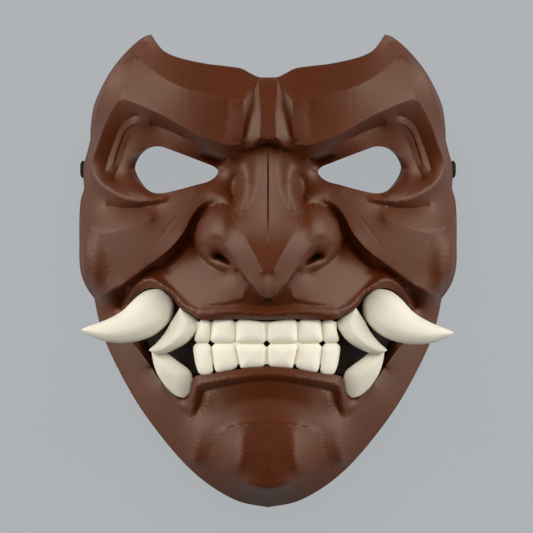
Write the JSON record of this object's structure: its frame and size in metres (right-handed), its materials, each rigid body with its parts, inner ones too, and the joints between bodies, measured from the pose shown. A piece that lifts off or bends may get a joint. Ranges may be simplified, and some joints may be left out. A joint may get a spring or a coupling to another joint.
{
  "type": "samurai mask",
  "caption": "Full-face demon mask in satin brown with cast cream teeth, fangs and curved tusks, open eye holes and a hollow back, lying face up on its side rims.",
  "frame": {"origin": "middle of the mask's length and width, on the plane that its two side rims rest on", "axes": "+X towards the wearer's left side of the face as it is looked at from the front, +Y up the face to the forehead, +Z out of the face"},
  "size_m": [0.1866, 0.23, 0.1049],
  "materials": {
    "brown_shell": "satin moulded resin with a fine grain",
    "cream_teeth": "smooth satin cast resin, bone coloured",
    "black_fittings": "matt moulded"
  },
  "bodies": {
    "root": {"mask_shell": "brown_shell", "upper_teeth": "cream_teeth", "lower_teeth": "cream_teeth", "tusk_left": "cream_teeth", "tusk_right": "cream_teeth", "upper_fang_left": "cream_teeth", "upper_fang_right": "cream_teeth", "lower_fang_left": "cream_teeth", "lower_fang_right": "cream_teeth", "mouth_tray": "black_fittings", "strap_cap_left": "black_fittings", "strap_cap_right": "black_fittings"}
  },
  "joints": []
}
